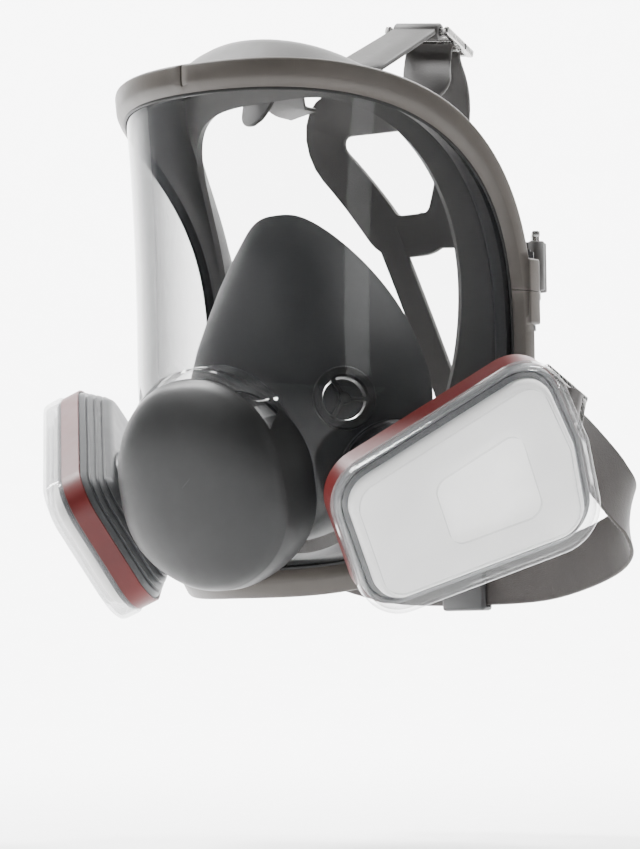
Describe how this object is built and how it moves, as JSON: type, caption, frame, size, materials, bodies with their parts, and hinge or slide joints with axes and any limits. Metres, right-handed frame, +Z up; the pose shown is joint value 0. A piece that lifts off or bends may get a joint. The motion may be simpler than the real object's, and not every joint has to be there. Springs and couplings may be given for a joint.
{
  "type": "full face respirator",
  "caption": "Full face mask with a clear visor, nose cup, centre exhalation valve, two bayonet cartridges and a head harness.",
  "frame": {"origin": "middle of the face opening, where the wearer's face sits", "axes": "+Y towards the wearer's head, the mask faces -Y, +Z up, +X the wearer's left"},
  "size_m": [0.259, 0.1873, 0.2363],
  "materials": {
    "lens_clear": "clear glossy polycarbonate",
    "frame_taupe": "satin brown-grey moulded plastic",
    "seal_grey": "soft matt silicone rubber",
    "cup_grey": "soft satin rubber, dark grey",
    "dark_plastic": "satin black moulded plastic",
    "cover_black": "semi-gloss charcoal moulded plastic",
    "valve_rubber": "black rubber",
    "cartridge_grey": "satin mid-grey moulded plastic",
    "carbon": "black granules",
    "label_maroon": "satin maroon label",
    "pad_white": "white felted filter fibre",
    "retainer_clear": "clear moulded plastic",
    "strap_rubber": "matt dark grey-brown rubber strap",
    "webbing": "woven elastic webbing with cross ribs",
    "steel": "bright plated steel"
  },
  "bodies": {
    "mask": {"lens": "lens_clear", "upper_frame": "frame_taupe", "lower_frame": "frame_taupe", "face_seal": "seal_grey", "nose_cup": "cup_grey", "central_adapter": "dark_plastic", "central_adapter_gasket": "valve_rubber", "frame_screw_left": "steel", "frame_nut_left": "steel", "nose_cup_valve_seat_left": "valve_rubber", "inhalation_port_left": "dark_plastic", "port_lock_ring_left": "dark_plastic", "port_gasket_left": "valve_rubber", "top_buckle_left": "steel", "temple_buckle_left": "steel", "neck_buckle_left": "steel", "top_strap_left": "strap_rubber", "temple_strap_left": "strap_rubber", "neck_strap_left": "webbing", "frame_screw_right": "steel", "frame_nut_right": "steel", "nose_cup_valve_seat_right": "valve_rubber", "inhalation_port_right": "dark_plastic", "port_lock_ring_right": "dark_plastic", "port_gasket_right": "valve_rubber", "top_buckle_right": "steel", "temple_buckle_right": "steel", "neck_buckle_right": "steel", "top_strap_right": "strap_rubber", "temple_strap_right": "strap_rubber", "neck_strap_right": "webbing", "neck_clip": "dark_plastic", "head_harness": "strap_rubber"},
    "exhalation_cover": {"exhalation_cover": "cover_black"},
    "exhalation_valve": {"exhalation_valve": "valve_rubber"},
    "cartridge_left": {"cartridge_body_left": "cartridge_grey", "sorbent_bed_left": "carbon", "cartridge_grid_left": "cartridge_grey", "label_band_left": "label_maroon", "filter_pad_left": "pad_white"},
    "retainer_left": {"retainer_left": "retainer_clear"},
    "inhalation_valve_left": {"inhalation_valve_left": "valve_rubber"},
    "nose_cup_valve_flap_left": {"nose_cup_valve_flap_left": "valve_rubber"},
    "top_roller_left": {"top_roller_left": "steel"},
    "temple_roller_left": {"temple_roller_left": "steel"},
    "neck_roller_left": {"neck_roller_left": "steel"},
    "cartridge_right": {"cartridge_body_right": "cartridge_grey", "sorbent_bed_right": "carbon", "cartridge_grid_right": "cartridge_grey", "label_band_right": "label_maroon", "filter_pad_right": "pad_white"},
    "retainer_right": {"retainer_right": "retainer_clear"},
    "inhalation_valve_right": {"inhalation_valve_right": "valve_rubber"},
    "nose_cup_valve_flap_right": {"nose_cup_valve_flap_right": "valve_rubber"},
    "top_roller_right": {"top_roller_right": "steel"},
    "temple_roller_right": {"temple_roller_right": "steel"},
    "neck_roller_right": {"neck_roller_right": "steel"}
  },
  "joints": [
    {"name": "exhalation_cover_pull", "type": "slide", "parent": "mask", "child": "exhalation_cover", "axis": [0, -0.9781, -0.2079], "range_m": [0, 0.025]},
    {"name": "exhalation_valve_lift", "type": "slide", "parent": "mask", "child": "exhalation_valve", "axis": [0, -0.9781, -0.2079], "range_m": [0, 0.002], "stiffness_N_per_m": 20, "springref_m": -0.004},
    {"name": "cartridge_twist_left", "type": "hinge", "parent": "mask", "child": "cartridge_left", "pos_m": [0.0594, -0.0297, -0.055], "axis": [0.8063, -0.4073, -0.4289], "range_deg": [0, 40]},
    {"name": "retainer_pull_left", "type": "slide", "parent": "cartridge_left", "child": "retainer_left", "axis": [0.8063, -0.4073, -0.4289], "range_m": [0, 0.02]},
    {"name": "inhalation_valve_lift_left", "type": "slide", "parent": "mask", "child": "inhalation_valve_left", "axis": [-0.8063, 0.4073, 0.4289], "range_m": [0, 0.0015], "stiffness_N_per_m": 20, "springref_m": -0.003},
    {"name": "nose_cup_valve_lift_left", "type": "slide", "parent": "mask", "child": "nose_cup_valve_flap_left", "axis": [-0.7847, 0.6036, -0.1408], "range_m": [0, 0.0015], "stiffness_N_per_m": 20, "springref_m": -0.003},
    {"name": "top_roller_spin_left", "type": "hinge", "parent": "mask", "child": "top_roller_left", "pos_m": [0.04258, 0.02071, 0.12049], "axis": [0.9742, 0.2026, -0.0994], "continuous": true},
    {"name": "temple_roller_spin_left", "type": "hinge", "parent": "mask", "child": "temple_roller_left", "pos_m": [0.06622, 0.05438, 0.03193], "axis": [-0.0359, 0.0479, -0.9982], "continuous": true},
    {"name": "neck_roller_spin_left", "type": "hinge", "parent": "mask", "child": "neck_roller_left", "pos_m": [0.08027, 0.05427, -0.02918], "axis": [0.1477, -0.5143, -0.8448], "continuous": true},
    {"name": "cartridge_twist_right", "type": "hinge", "parent": "mask", "child": "cartridge_right", "pos_m": [-0.0594, -0.0297, -0.055], "axis": [-0.8063, -0.4073, -0.4289], "range_deg": [0, 40]},
    {"name": "retainer_pull_right", "type": "slide", "parent": "cartridge_right", "child": "retainer_right", "axis": [-0.8063, -0.4073, -0.4289], "range_m": [0, 0.02]},
    {"name": "inhalation_valve_lift_right", "type": "slide", "parent": "mask", "child": "inhalation_valve_right", "axis": [0.8063, 0.4073, 0.4289], "range_m": [0, 0.0015], "stiffness_N_per_m": 20, "springref_m": -0.003},
    {"name": "nose_cup_valve_lift_right", "type": "slide", "parent": "mask", "child": "nose_cup_valve_flap_right", "axis": [0.7847, 0.6036, -0.1408], "range_m": [0, 0.0015], "stiffness_N_per_m": 20, "springref_m": -0.003},
    {"name": "top_roller_spin_right", "type": "hinge", "parent": "mask", "child": "top_roller_right", "pos_m": [-0.04258, 0.02071, 0.12049], "axis": [0.9742, -0.2026, 0.0994], "continuous": true},
    {"name": "temple_roller_spin_right", "type": "hinge", "parent": "mask", "child": "temple_roller_right", "pos_m": [-0.06622, 0.05438, 0.03193], "axis": [-0.0359, -0.0479, 0.9982], "continuous": true},
    {"name": "neck_roller_spin_right", "type": "hinge", "parent": "mask", "child": "neck_roller_right", "pos_m": [-0.08027, 0.05427, -0.02918], "axis": [0.1477, 0.5143, 0.8448], "continuous": true}
  ]
}
